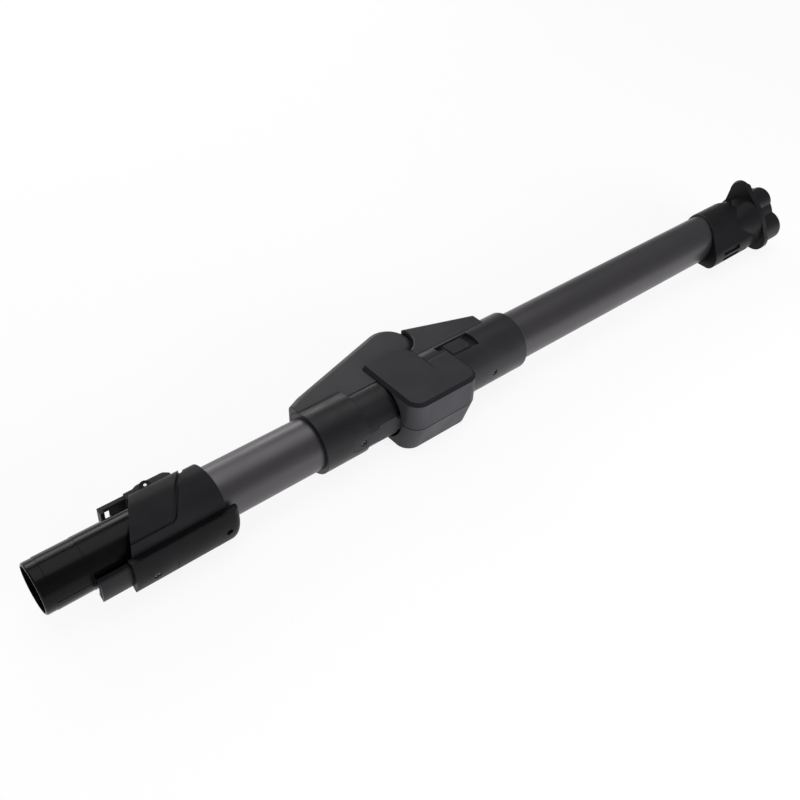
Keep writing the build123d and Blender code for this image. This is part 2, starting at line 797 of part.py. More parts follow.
# Joint sleeve of the socket half, with the slider's window and the tunnel of its bridge
with BuildPart() as socket_joint_sleeve:
    with BuildSketch(Plane.XY):
        with BuildLine():
            Polyline(
                (socket_joint_start, hose_bore_r),
                (socket_joint_start, socket_joint_r),
                (socket_joint_end, socket_joint_r),
                (socket_joint_end, sleeve_bore_r),
                (socket_tube_start, sleeve_bore_r),
                (socket_tube_start, hose_bore_r),
                close=True,
            )
        make_face()
    revolve(axis=Axis.X)
    fillet(socket_joint_sleeve.edges().group_by(Axis.X)[-1].sort_by(SortBy.RADIUS)[-1], sleeve_lip)
    with BuildSketch(Plane.XY.offset(window_floor)):
        with Locations((window_left, window_low)):
            Rectangle(window_length, window_high - window_low, align=(Align.MIN, Align.MIN))
        with Locations((window_left, bridge_low - slider_gap)):
            Rectangle(notch_length, window_high - bridge_low + slider_gap, align=(Align.MAX, Align.MIN))
    extrude(amount=reach, mode=Mode.SUBTRACT)
    with BuildSketch(Plane.XY.offset(window_floor)):
        with Locations((window_left, bridge_low - slider_gap)):
            Rectangle(reach, bridge_high - bridge_low + 2 * slider_gap, align=(Align.MAX, Align.MIN))
    extrude(amount=bridge_top + play - window_floor, mode=Mode.SUBTRACT)
    with BuildSketch(Plane.XY.offset(-reach)):
        with Locations((hinge_x, hinge_y)):
            Circle(knuckle_r + play)
    extrude(amount=2 * reach, mode=Mode.SUBTRACT)
    add(screw_hole(socket_sleeve_screw), mode=Mode.SUBTRACT)
socket_joint_sleeve.part.label = "socket_joint_sleeve"
export_step(socket_joint_sleeve.part, "parts/socket_joint_sleeve.step")

# Hinge cover of the socket half: a wedge hollowed round the knuckle, with the lug between its cheeks
wedge_corner = Vector(hinge_x, hinge_y) + Vector(knuckle_r + play, 0).rotate(Axis.Z, wedge_corner_angle)
with BuildPart() as socket_hinge_cover:
    with BuildSketch(Plane.XY.offset(-wedge_top)):
        with BuildLine():
            Polyline(
                (hinge_x + wedge_foot, wedge_foot_y),
                (hinge_x + wedge_run + wedge_toe, wedge_foot_y),
                (hinge_x + wedge_run + wedge_toe, wedge_end_y - wedge_toe / 2),
                (hinge_x + wedge_run, wedge_end_y),
                (wedge_corner.X, wedge_corner.Y),
                (hinge_x + wedge_foot, wedge_corner.Y),
                close=True,
            )
        make_face()
        with Locations((hinge_x, hinge_y)):
            Circle(knuckle_r + play, mode=Mode.SUBTRACT)
    extrude(amount=2 * wedge_top)
    back_edges = socket_hinge_cover.edges().filter_by(
        lambda edge: abs(edge.center().Z) > wedge_top - slip and edge.center().X > wedge_corner.X
    )
    fillet(back_edges.filter_by(lambda edge: edge.center().Y > wedge_end_y), wedge_round)
    with BuildSketch(Plane.XY):
        with Locations((hinge_x, hinge_y)):
            Circle(lug_r)
        with Locations((hinge_x, hinge_y + lug_low)):
            Rectangle(knuckle_r + 2 * play, lug_high - lug_low, align=(Align.MIN, Align.MIN))
    extrude(amount=hump_top - cheek - play, both=True)
    with BuildSketch(Plane.YZ.offset(hinge_x - reach)):
        Circle(socket_joint_r + slip)
    extrude(amount=3 * reach, mode=Mode.SUBTRACT)
    with BuildSketch(Plane.XY.offset(-reach)):
        with Locations((hinge_x, hinge_y)):
            Circle(hinge_pin_r + slip)
    extrude(amount=2 * reach, mode=Mode.SUBTRACT)
socket_hinge_cover.part.label = "socket_hinge_cover"
export_step(socket_hinge_cover.part, "parts/socket_hinge_cover.step")

# Hinge pin, held in the lug and hidden by the cheeks
with BuildPart() as hinge_pin:
    with BuildSketch(Plane.XY):
        with Locations((hinge_x, hinge_y)):
            Circle(hinge_pin_r)
    extrude(amount=hump_top - pin_cover - pin_play, both=True)
hinge_pin.part.label = "hinge_pin"
export_step(hinge_pin.part, "parts/hinge_pin.step")


def box_plan(front):
    """Plan of the latch box down from its front line, with its ear beside the knuckle."""
    with BuildSketch() as shape:
        with BuildLine():
            Polyline(
                (box_left, front),
                (box_right, front),
                (box_right, 0),
                (ear_right, 0),
                (ear_right, ear_back),
                (box_left, ear_back),
                close=True,
            )
        make_face()
        fillet(shape.vertices().group_by(Axis.Y)[0], box_corner)
        fillet(shape.vertices().group_by(Axis.Y)[-1].sort_by(Axis.X)[-1], ear_round)
    return shape.sketch


def box_room(front):
    """Plan of the room inside the latch box, open at the back and beside the neck."""
    with BuildSketch() as shape:
        with Locations((box_left + box_wall, front + box_wall)):
            Rectangle(box_right - box_left - 2 * box_wall, reach, align=(Align.MIN, Align.MIN))
        fillet(shape.vertices().group_by(Axis.Y)[0], box_corner - box_wall)
        with Locations((box_left - box_wall, box_doorway)):
            Rectangle(4 * box_wall, reach, align=(Align.MIN, Align.MIN))
    return shape.sketch


def neck_doorway():
    """Round doorway for the neck in the left wall, between the two plates."""
    with BuildPart() as doorway:
        with BuildSketch(Plane.YZ.offset(box_left)):
            Circle(doorway_r)
            Rectangle(reach, 2 * (box_top - box_plate), mode=Mode.INTERSECT)
        extrude(amount=2 * box_wall, both=True)
    return doorway.part


def leaning_block(plan, height):
    """Block under the parting plane, from a plan whose front leans back as it goes down."""
    with BuildPart() as block:
        with BuildSketch(Plane.XY):
            add(plan(box_front))
        with BuildSketch(Plane.XY.offset(-height)):
            add(plan(box_front + height * tan(radians(box_draft))))
        loft(ruled=True)
    return block.part


# Upper half of the latch box
with BuildPart() as latch_box_upper:
    with BuildSketch(Plane.XY):
        add(box_plan(box_front))
    extrude(amount=box_top)
    rim = latch_box_upper.faces().sort_by(Axis.Z)[-1].edges()
    chamfer(rim.filter_by(lambda edge: edge.center().Y < -slip), box_chamfer)
    seam = latch_box_upper.faces().sort_by(Axis.Z)[0].edges()
    chamfer(seam.filter_by(lambda edge: edge.center().Y < -slip), box_seam)
    with BuildSketch(Plane.XY):
        add(box_room(box_front))
    extrude(amount=box_top - box_plate, mode=Mode.SUBTRACT)
    add(neck_doorway(), mode=Mode.SUBTRACT)
    with BuildSketch(Plane.XY):
        with Locations((hinge_x - arm_ahead - play, bridge_low - play)):
            Rectangle(
                socket_joint_start - hinge_x + arm_ahead + 2 * play,
                bridge_high - bridge_low + 2 * play,
                align=(Align.MIN, Align.MIN),
            )
    extrude(amount=bridge_top + play, mode=Mode.SUBTRACT)
    with BuildSketch(Plane.YZ.offset(socket_joint_start)):
        Circle(socket_joint_r + slip)
    extrude(amount=reach, mode=Mode.SUBTRACT)
    with BuildSketch(Plane.XY.offset(box_top - top_line_depth)):
        with Locations((ear_right, top_line_low)):
            Rectangle(top_line_width, reach, align=(Align.MIN, Align.MIN))
    extrude(amount=reach, mode=Mode.SUBTRACT)
latch_box_upper.part.label = "latch_box_upper"
export_step(latch_box_upper.part, "parts/latch_box_upper.step")

# Lower half of the latch box, with a drafted front
with BuildPart() as latch_box_lower:
    add(leaning_block(box_plan, box_top))
    add(leaning_block(box_room, box_top - box_plate), mode=Mode.SUBTRACT)
    add(neck_doorway(), mode=Mode.SUBTRACT)
    with BuildSketch(Plane.YZ.offset(socket_joint_start)):
        Circle(socket_joint_r + slip)
    extrude(amount=reach, mode=Mode.SUBTRACT)
latch_box_lower.part.label = "latch_box_lower"
export_step(latch_box_lower.part, "parts/latch_box_lower.step")

# Release slider: a tab in the sleeve's window, a bridge, and an arm with a slanted slot for the pawl's post
with BuildPart() as release_slider:
    with BuildSketch(Plane.XY.offset(window_floor + play)):
        with Locations((slider_left, window_low + slider_gap)):
            Rectangle(slider_length, window_high - window_low - 2 * slider_gap, align=(Align.MIN, Align.MIN))
    extrude(amount=slider_top - window_floor - play)
    with BuildSketch(Plane.XY.offset(window_floor + play)):
        with Locations((slider_left + slider_gap, bridge_low)):
            Rectangle(
                slider_left + slider_gap - hinge_x + arm_ahead,
                bridge_high - bridge_low,
                align=(Align.MAX, Align.MIN),
            )
    extrude(amount=bridge_top - window_floor - play)
    with BuildSketch(Plane.XY.offset(arm_bottom)):
        with Locations((hinge_x + arm_behind, bridge_high)):
            Rectangle(arm_ahead + arm_behind, bridge_high - arm_low, align=(Align.MAX, Align.MAX))
        with Locations((hinge_x + arm_behind, arm_low)):
            Rectangle(arm_foot + arm_behind, arm_foot_width, align=(Align.MAX, Align.MIN))
    extrude(amount=arm_top - arm_bottom)
    with BuildSketch(Plane.XY.offset(arm_bottom)):
        with Locations(
            (post_x, pawl_pin_y),
            (post_x - slider_travel, pawl_pin_y),
            (post_x - slider_travel, pawl_pin_y - cam_slope * slider_travel),
        ):
            Circle(post_r + play)
        make_hull()
    extrude(amount=arm_top - arm_bottom, mode=Mode.SUBTRACT)
release_slider.part.label = "release_slider"
export_step(release_slider.part, "parts/release_slider.step")

# Lock pawl with its nose behind the tongue's window and a post in the slider's slot
pawl_nose_x = catch_x + (catch_length - pawl_nose_length) / 2
with BuildPart() as lock_pawl:
    with BuildSketch(Plane.XY.offset(-pawl_half)):
        with Locations((pawl_pin_x, pawl_pin_y)):
            Circle(pawl_hub_r)
            Rectangle(pawl_pin_x - pawl_nose_x, 2 * pawl_arm, align=(Align.MAX, Align.CENTER))
        with Locations((pawl_nose_x, pawl_pin_y)):
            Rectangle(
                pawl_nose_length,
                -tongue_plate_r - play - pawl_pin_y,
                align=(Align.MIN, Align.MIN),
            )
        with Locations((pawl_pin_x, pawl_pin_y)):
            Circle(pawl_pin_r + pin_play, mode=Mode.SUBTRACT)
    extrude(amount=2 * pawl_half)
    with BuildSketch(Plane.XY):
        with Locations((post_x, pawl_pin_y)):
            Circle(post_r)
    extrude(amount=arm_top)
lock_pawl.part.label = "lock_pawl"
export_step(lock_pawl.part, "parts/lock_pawl.step")

# Pin of the pawl, hanging from the upper plate of the latch box
with BuildPart() as pawl_pin:
    with BuildSketch(Plane.XY.offset(box_top - box_plate)):
        with Locations((pawl_pin_x, pawl_pin_y)):
            Circle(pawl_pin_r)
    extrude(amount=pawl_pin_low - box_top + box_plate)
pawl_pin.part.label = "pawl_pin"
export_step(pawl_pin.part, "parts/pawl_pin.step")

# Tube of the socket half
with BuildPart() as socket_tube:
    with BuildSketch(Plane.YZ.offset(socket_tube_start)):
        Circle(tube_r)
        Circle(tube_bore_r, mode=Mode.SUBTRACT)
    extrude(amount=socket_tube_end - socket_tube_start)
socket_tube.part.label = "socket_tube"
export_step(socket_tube.part, "parts/socket_tube.step")

def ridged_plan(core, far):
    """Round section drawn out smoothly to the ridge of the contact pod."""
    with BuildSketch() as shape:
        Circle(core)
        with Locations((socket_pod_r - far, 0)):
            Circle(socket_pod_r)
        make_hull()
    return shape.sketch


def bulged_plan(corners):
    """Section with the fuller side towards the latch box, drawn out to rounded corners at some angles."""
    with BuildSketch() as shape:
        with PolarLocations(bulge_out, 1, start_angle=bulge_angle):
            Circle(bulge_r)
        for turn, far, round_r in corners:
            with PolarLocations(far - round_r, 1, start_angle=turn):
                Circle(round_r)
        make_hull()
    return shape.sketch


# Socket end sleeve: the tube's seat, the neck, the slotted contact pod and the flare to the collar
with BuildPart() as socket_end_sleeve:
    with BuildSketch(socket_section.offset(end_sleeve_end)):
        add(ridged_plan(end_sleeve_r, socket_pod_reach))
    extrude(amount=-end_sleeve_length - end_rim_slope * reach)
    with BuildSketch(socket_plan):
        with BuildLine():
            Polyline(
                (0, -reach),
                (end_sleeve_start - end_rim_slope * reach, -reach),
                (end_sleeve_start + end_rim_slope * reach, reach),
                (0, reach),
                close=True,
            )
        make_face()
    extrude(amount=reach, both=True, mode=Mode.SUBTRACT)
    fillet(socket_end_sleeve.faces().sort_by(Axis.X)[0].edges(), end_rim_round)
    with BuildSketch(socket_section.offset(end_sleeve_end)):
        add(ridged_plan(end_neck_r, socket_pod_reach - pod_step))
    extrude(amount=end_neck_length)
    with BuildSketch(socket_section.offset(collar_start)):
        add(bulged_plan([(180, socket_pod_reach, socket_pod_r)]))
    extrude(amount=-flare_length, taper=flare_slope)
    with BuildSketch(socket_section.offset(end_sleeve_end - slot_back)):
        with Locations((socket_pod_r - socket_pod_reach, 0)):
            for i in range(pod_slots):
                turn = 180 + slot_middle + slot_angle * (i - (pod_slots - 1) / 2)
                with PolarLocations(socket_pod_r, 1, start_angle=turn):
                    Rectangle(2 * slot_depth, slot_width)
    extrude(amount=slot_length, mode=Mode.SUBTRACT)
    add(screw_hole(socket_pod_screw), mode=Mode.SUBTRACT)
    with BuildSketch(socket_section.offset(socket_tube_end)):
        Circle(sleeve_bore_r)
    extrude(amount=-reach, mode=Mode.SUBTRACT)
    with BuildSketch(socket_section.offset(collar_start)):
        Circle(end_bore_r)
    extrude(amount=-reach, mode=Mode.SUBTRACT)
socket_end_sleeve.part.label = "socket_end_sleeve"
export_step(socket_end_sleeve.part, "parts/socket_end_sleeve.step")


def lobed_plan(core, lobes):
    """Round section with lobes, each given by its angle, reach and radius."""
    with BuildSketch() as shape:
        Circle(core)
        for turn, far, round_r in lobes:
            with PolarLocations(far - round_r, 1, start_angle=turn):
                Circle(round_r)
        fillet(shape.vertices(), waist_round)
    return shape.sketch


# Socket collar: a flange with two petals and a lobed mouth with a pocket for the plug's shroud
with BuildPart() as socket_collar:
    with BuildSketch(socket_section.offset(collar_start + flange_thick)):
        add(
            lobed_plan(
                collar_core_r,
                [
                    (0, lobe_reach, lobe_r),
                    (small_lobe_angle, lobe_reach, small_lobe_r),
                    (90, lobe_reach, lobe_r),
                    (180, contact_lobe_reach, contact_lobe_r),
                    (270, lobe_reach, lobe_r),
                ],
            )
        )
    extrude(amount=collar_length - flange_thick)
    chamfer(socket_collar.edges().group_by(Axis.X)[-1], lobe_round)
    with BuildSketch(socket_section.offset(collar_start)):
        add(bulged_plan([(turn, petal_reach, petal_r) for turn in (top_petal_angle, 180)]))
        Circle(flange_core_r)
    extrude(amount=flange_thick)
    with BuildSketch(socket_section.offset(collar_start)):
        Circle(socket_bore_r)
    extrude(amount=collar_length, mode=Mode.SUBTRACT)
    with BuildSketch(socket_section.offset(collar_start)):
        Circle(seal_r + slip)
    extrude(amount=seal_thick, mode=Mode.SUBTRACT)
    with BuildSketch(socket_section.offset(collar_end)):
        add(ring_sector(shroud_r + pocket_room, shroud_inner_r - pocket_room, shroud_half + pocket_turn))
    extrude(amount=-pocket_depth, mode=Mode.SUBTRACT)
socket_collar.part.label = "socket_collar"
export_step(socket_collar.part, "parts/socket_collar.step")

# Seal at the bottom of the socket
with BuildPart() as socket_seal:
    with BuildSketch(Plane.YZ.offset(collar_start)):
        Circle(seal_r)
        Circle(seal_bore_r, mode=Mode.SUBTRACT)
    extrude(amount=seal_thick)
socket_seal.part.label = "socket_seal"
export_step(socket_seal.part, "parts/socket_seal.step")

# Contact blades in the socket's pocket
with BuildPart() as socket_contacts:
    with BuildSketch(socket_section.offset(collar_end - pocket_depth)):
        for turn in (-contact_angle, 0, contact_angle):
            with PolarLocations((shroud_r + shroud_inner_r) / 2, 1, start_angle=180 + turn):
                Rectangle(contact_thick, contact_width)
    extrude(amount=contact_length)
socket_contacts.part.label = "socket_contacts"
export_step(socket_contacts.part, "parts/socket_contacts.step")

# Screws of the two halves
with BuildPart() as plug_screws:
    add(screw_on(plug_pod_screw))
    add(screw_on(tongue_screw))
plug_screws.part.label = "plug_screws"
export_step(plug_screws.part, "parts/plug_screws.step")

with BuildPart() as socket_screws:
    add(screw_on(socket_sleeve_screw))
    add(screw_on(socket_pod_screw))
socket_screws.part.label = "socket_screws"
export_step(socket_screws.part, "parts/socket_screws.step")
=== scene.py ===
import math

import bmesh
import bpy
from mathutils import Matrix, Vector


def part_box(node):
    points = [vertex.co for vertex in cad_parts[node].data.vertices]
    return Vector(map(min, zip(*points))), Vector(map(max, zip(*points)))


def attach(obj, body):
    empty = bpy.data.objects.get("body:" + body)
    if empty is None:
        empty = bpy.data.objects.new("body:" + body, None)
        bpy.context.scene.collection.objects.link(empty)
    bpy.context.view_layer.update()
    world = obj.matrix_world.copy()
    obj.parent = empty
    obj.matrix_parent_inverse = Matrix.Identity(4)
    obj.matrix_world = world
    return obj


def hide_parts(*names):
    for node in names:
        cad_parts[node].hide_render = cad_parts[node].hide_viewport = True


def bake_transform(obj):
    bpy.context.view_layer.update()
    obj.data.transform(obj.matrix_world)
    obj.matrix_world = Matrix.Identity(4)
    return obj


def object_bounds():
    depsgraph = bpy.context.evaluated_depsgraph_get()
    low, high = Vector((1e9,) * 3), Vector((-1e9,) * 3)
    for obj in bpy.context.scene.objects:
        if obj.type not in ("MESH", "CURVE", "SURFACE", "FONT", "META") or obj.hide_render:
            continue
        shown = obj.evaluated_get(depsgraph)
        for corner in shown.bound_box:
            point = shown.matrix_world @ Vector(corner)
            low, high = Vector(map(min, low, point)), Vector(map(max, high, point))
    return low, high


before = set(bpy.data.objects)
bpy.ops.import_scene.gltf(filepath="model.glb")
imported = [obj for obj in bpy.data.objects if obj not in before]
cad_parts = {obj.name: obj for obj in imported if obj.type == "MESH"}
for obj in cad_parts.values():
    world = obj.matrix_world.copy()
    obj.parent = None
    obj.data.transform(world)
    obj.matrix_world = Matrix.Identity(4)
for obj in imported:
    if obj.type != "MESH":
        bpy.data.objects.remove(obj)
cad_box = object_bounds()

scene = bpy.context.scene
scene.view_settings.view_transform = "Standard"
MM = 0.001
WELD = 0.002 * MM  # vertices closer than this are one
WHITE = (1, 1, 1, 1)


# Materials

NOISE_LOW, NOISE_HIGH = 0.3, 0.7  # where most values of a noise lie
TINT_LOW, TINT_HIGH = 0.32, 0.68  # the values that give the darker and the lighter colour
EDGE_SOFT, EDGE_FULL = 0.97, 0.72  # how well normals agree where an edge's mask starts and is full
EDGE_SAMPLES = 6


def start_material(name):
    """A node material with its shader and its object coordinates."""
    material = bpy.data.materials.new(name)
    material.use_nodes = True
    nodes = material.node_tree.nodes
    links = material.node_tree.links
    shader = nodes["Principled BSDF"]
    place = nodes.new("ShaderNodeTexCoord").outputs["Object"]
    return material, nodes, links, shader, place


def noise_of(nodes, links, place, scale, detail, stretch=None):
    """A noise value in object space; stretch scales the axes first."""
    noise = nodes.new("ShaderNodeTexNoise")
    noise.inputs["Scale"].default_value = scale
    noise.inputs["Detail"].default_value = detail
    if stretch is not None:
        mapping = nodes.new("ShaderNodeMapping")
        mapping.inputs["Scale"].default_value = stretch
        links.new(place, mapping.inputs["Vector"])
        place = mapping.outputs["Vector"]
    links.new(place, noise.inputs["Vector"])
    return noise.outputs["Fac"]


def ranged(nodes, links, value, start, end, low=0.0, high=1.0):
    """A value taken from one range to another, and kept inside it."""
    between = nodes.new("ShaderNodeMapRange")
    between.inputs["From Min"].default_value = start
    between.inputs["From Max"].default_value = end
    between.inputs["To Min"].default_value = low
    between.inputs["To Max"].default_value = high
    links.new(value, between.inputs["Value"])
    return between.outputs["Result"]


def spread(nodes, links, noise, low, high):
    """A noise taken to a range of its own."""
    return ranged(nodes, links, noise, NOISE_LOW, NOISE_HIGH, low, high)


def tint(nodes, links, noise, dark, light):
    """A colour between two, by a noise."""
    ramp = nodes.new("ShaderNodeValToRGB")
    first, last = ramp.color_ramp.elements
    first.position = TINT_LOW
    first.color = (*dark, 1)
    last.position = TINT_HIGH
    last.color = (*light, 1)
    links.new(noise, ramp.inputs["Fac"])
    return ramp.outputs["Color"]


def shaded(colour, share):
    """A colour made darker or lighter."""
    return [min(1, c * share) for c in colour]


def rounded(nodes, radius):
    """The normal of edges rounded by a radius."""
    bevel = nodes.new("ShaderNodeBevel")
    bevel.samples = EDGE_SAMPLES
    bevel.inputs["Radius"].default_value = radius
    return bevel.outputs["Normal"]


def edge_mask(nodes, links, normal):
    """A mask of the edges where a rounded normal leaves the surface's own."""
    plain = nodes.new("ShaderNodeNewGeometry")
    agree = nodes.new("ShaderNodeVectorMath")
    agree.operation = "DOT_PRODUCT"
    links.new(normal, agree.inputs[0])
    links.new(plain.outputs["Normal"], agree.inputs[1])
    return ranged(nodes, links, agree.outputs["Value"], EDGE_SOFT, EDGE_FULL)


def bumped(nodes, links, height, strength, distance, normal=None):
    """A normal with fine relief on it."""
    bump = nodes.new("ShaderNodeBump")
    bump.inputs["Strength"].default_value = strength
    bump.inputs["Distance"].default_value = distance
    links.new(height, bump.inputs["Height"])
    if normal is not None:
        links.new(normal, bump.inputs["Normal"])
    return bump.outputs["Normal"]


def joined(nodes, links, how, first, second):
    """Two masks joined by a sum of the kind given."""
    both = nodes.new("ShaderNodeMath")
    both.operation = how
    links.new(first, both.inputs[0])
    links.new(second, both.inputs[1])
    return both.outputs[0]


def blended(nodes, links, under, over, mask):
    """A colour with a plain one over it where a mask says so."""
    mix = nodes.new("ShaderNodeMix")
    mix.data_type = "RGBA"
    links.new(under, mix.inputs["A"])
    mix.inputs["B"].default_value = (*over, 1)
    links.new(mask, mix.inputs["Factor"])
    return mix.outputs["Result"]


def box_painted_shade(nodes, links, place):
    """A mask of painted shade on the latch box: along its parting line on the axis, on its chamfer and, in
    part, on its top face.
    """
    line_edge, line_core = 0.6 * MM, 0.25 * MM
    slope_from, slope_full = 0.45, 0.6  # upward share of the surface's normal
    flat_from, flat_full = 0.95, 0.82
    top_from, top_full, top_share = 0.97, 0.99, 0.36
    height = nodes.new("ShaderNodeSeparateXYZ")
    links.new(place, height.inputs["Vector"])
    off_line = nodes.new("ShaderNodeMath")
    off_line.operation = "ABSOLUTE"
    links.new(height.outputs["Z"], off_line.inputs[0])
    # painted shade along the parting line on the axis
    parting = ranged(nodes, links, off_line.outputs[0], line_edge, line_core)
    facing = nodes.new("ShaderNodeSeparateXYZ")
    links.new(nodes.new("ShaderNodeTexCoord").outputs["Normal"], facing.inputs["Vector"])
    upward = facing.outputs["Z"]
    rising = ranged(nodes, links, upward, slope_from, slope_full)
    falling = ranged(nodes, links, upward, flat_from, flat_full)
    # painted shade on the chamfer between the top and the front
    chamfer = joined(nodes, links, "MULTIPLY", rising, falling)
    # the top face painted a shade darker than the front, painted shade for the light falling on the front
    top = ranged(nodes, links, upward, top_from, top_full, high=top_share)
    edges = joined(nodes, links, "MAXIMUM", parting, chamfer)
    return joined(nodes, links, "MAXIMUM", edges, top)


def moulded(name, colour, rough, shine=0.16, edge=0.45, edge_light_share=1.5, painted_shade_of=None):
    """Moulded plastic with a spark-eroded grain, a little colour drift, a painted highlight along its edges
    (painted shade there where the edge share is below 1) and, where a mask is given, painted shade.
    """
    vary, lift, painted_shade_share = 0.12, 0.004, 0.25
    rough_vary, grain, grain_deep = 0.05, 0.12, 0.06 * MM
    drift_scale, cloud_scale, grain_scale = 38.0, 90.0, 2600.0
    material, nodes, links, shader, place = start_material(name)
    normal = rounded(nodes, edge * MM)
    drift = noise_of(nodes, links, place, drift_scale, detail=4.0)
    base = tint(nodes, links, drift, shaded(colour, 1 - vary), shaded(colour, 1 + vary))
    # painted highlight along the edges where the share is above 1, painted shade along them where it is
    # below 1
    pale = [min(1, c * edge_light_share + lift) for c in colour]
    skin = blended(nodes, links, base, pale, edge_mask(nodes, links, normal))
    if painted_shade_of is not None:
        # painted shade, darker by the share, where the given mask says so
        skin = blended(nodes, links, skin, shaded(colour, painted_shade_share), painted_shade_of(nodes, links, place))
    links.new(skin, shader.inputs["Base Color"])
    cloudy = noise_of(nodes, links, place, cloud_scale, detail=5.0)
    satin = spread(nodes, links, cloudy, rough - rough_vary, rough + rough_vary)
    links.new(satin, shader.inputs["Roughness"])
    fine = noise_of(nodes, links, place, grain_scale, detail=2.0)
    links.new(bumped(nodes, links, fine, grain, grain_deep, normal), shader.inputs["Normal"])
    shader.inputs["Specular IOR Level"].default_value = shine
    return material


def glossy(name, colour, rough):
    """Smooth polished plastic with faint handling marks."""
    edge, shine = 0.35 * MM, 0.15
    dim, bright = 0.85, 1.2
    smoother, rougher = 0.04, 0.07
    smear_scale, smear_stretch = 60.0, (0.4, 1.0, 1.0)
    ripple_scale, ripple_strength, ripple_deep = 160.0, 0.05, 0.08 * MM
    material, nodes, links, shader, place = start_material(name)
    smear = noise_of(nodes, links, place, smear_scale, detail=6.0, stretch=smear_stretch)
    base = tint(nodes, links, smear, shaded(colour, dim), shaded(colour, bright))
    links.new(base, shader.inputs["Base Color"])
    links.new(spread(nodes, links, smear, rough - smoother, rough + rougher), shader.inputs["Roughness"])
    ripple = noise_of(nodes, links, place, ripple_scale, detail=2.0)
    normal = bumped(nodes, links, ripple, ripple_strength, ripple_deep, rounded(nodes, edge))
    links.new(normal, shader.inputs["Normal"])
    shader.inputs["Specular IOR Level"].default_value = shine
    return material


def anodised(name, colour, rough):
    """Drawn aluminium tube, blasted and anodised, with a trace of the drawing direction."""
    edge, metallic = 0.2 * MM, 0.9
    dim, bright = 0.98, 1.02
    smoother, rougher = 0.03, 0.04
    drawn_scale, drawn_stretch, cloud_scale = 30.0, (0.25, 22.0, 22.0), 25.0
    blast_scale, blast_strength, blast_deep = 3800.0, 0.16, 0.05 * MM
    material, nodes, links, shader, place = start_material(name)
    drawn = noise_of(nodes, links, place, drawn_scale, detail=4.0, stretch=drawn_stretch)
    base = tint(nodes, links, drawn, shaded(colour, dim), shaded(colour, bright))
    links.new(base, shader.inputs["Base Color"])
    cloudy = noise_of(nodes, links, place, cloud_scale, detail=4.0)
    links.new(spread(nodes, links, cloudy, rough - smoother, rough + rougher), shader.inputs["Roughness"])
    blast = noise_of(nodes, links, place, blast_scale, detail=2.0)
    normal = bumped(nodes, links, blast, blast_strength, blast_deep, rounded(nodes, edge))
    links.new(normal, shader.inputs["Normal"])
    shader.inputs["Metallic"].default_value = metallic
    return material


def metal(name, colour, rough, scratch):
    """Plain metal with turning or drawing marks."""
    edge, scratch_deep = 0.15 * MM, 0.03 * MM
    dim, bright = 0.85, 1.1
    smoother, rougher = 0.06, 0.08
    mark_scale, mark_stretch = 900.0, (1.0, 1.0, 0.15)
    material, nodes, links, shader, place = start_material(name)
    marks = noise_of(nodes, links, place, mark_scale, detail=3.0, stretch=mark_stretch)
    base = tint(nodes, links, marks, shaded(colour, dim), shaded(colour, bright))
    links.new(base, shader.inputs["Base Color"])
    links.new(spread(nodes, links, marks, rough - smoother, rough + rougher), shader.inputs["Roughness"])
    normal = bumped(nodes, links, marks, scratch, scratch_deep, rounded(nodes, edge))
    links.new(normal, shader.inputs["Normal"])
    shader.inputs["Metallic"].default_value = 1.0
    return material


def rubbery(name, colour):
    """Soft hose plastic with a dull bloom."""
    smooth, rough = 0.55, 0.7
    dim, bright = 0.8, 1.35
    bloom_scale, fine_scale = 120.0, 1500.0
    fine_strength, fine_deep = 0.12, 0.08 * MM
    material, nodes, links, shader, place = start_material(name)
    bloom = noise_of(nodes, links, place, bloom_scale, detail=6.0)
    base = tint(nodes, links, bloom, shaded(colour, dim), shaded(colour, bright))
    links.new(base, shader.inputs["Base Color"])
    links.new(spread(nodes, links, bloom, smooth, rough), shader.inputs["Roughness"])
    fine = noise_of(nodes, links, place, fine_scale, detail=3.0)
    links.new(bumped(nodes, links, fine, fine_strength, fine_deep), shader.inputs["Normal"])
    return material


# each plastic's edges get a painted highlight, the tongue's edges painted shade
shell = moulded("shell_plastic_look", (0.0065, 0.0063, 0.0075), rough=0.38, shine=0.3, edge=0.8, edge_light_share=1.9)
# painted light: the socket's joint sleeve is a lighter copy of the same shell plastic, standing in for light
# the lamps give it too little
painted_lit_shell = moulded(
    "painted_lit_shell_plastic_look", (0.0115, 0.0112, 0.013), rough=0.36, shine=0.36, edge=0.8, edge_light_share=1.9
)
cover = moulded("cover_plastic_look", (0.0268, 0.0262, 0.029), rough=0.4, shine=0.3, edge=1.8, edge_light_share=1.6)
# the tongue's edges painted near black: painted shade in its outline
tongue = moulded("tongue_plastic_look", (0.0195, 0.019, 0.022), rough=0.5, edge=0.9, edge_light_share=0.1)
# the pad's edges painted much lighter: a painted highlight on its rim
slider = moulded("slider_plastic_look", (0.019, 0.0187, 0.021), rough=0.42, edge=0.5, edge_light_share=3.0)
plug_shell = moulded("plug_plastic_look", (0.0092, 0.009, 0.0104), rough=0.46, shine=0.075)
pod = moulded("pod_plastic_look", (0.0045, 0.0045, 0.0052), rough=0.46, shine=0.1)
lever = moulded("lever_plastic_look", (0.034, 0.0337, 0.0365), rough=0.47, shine=0.1)
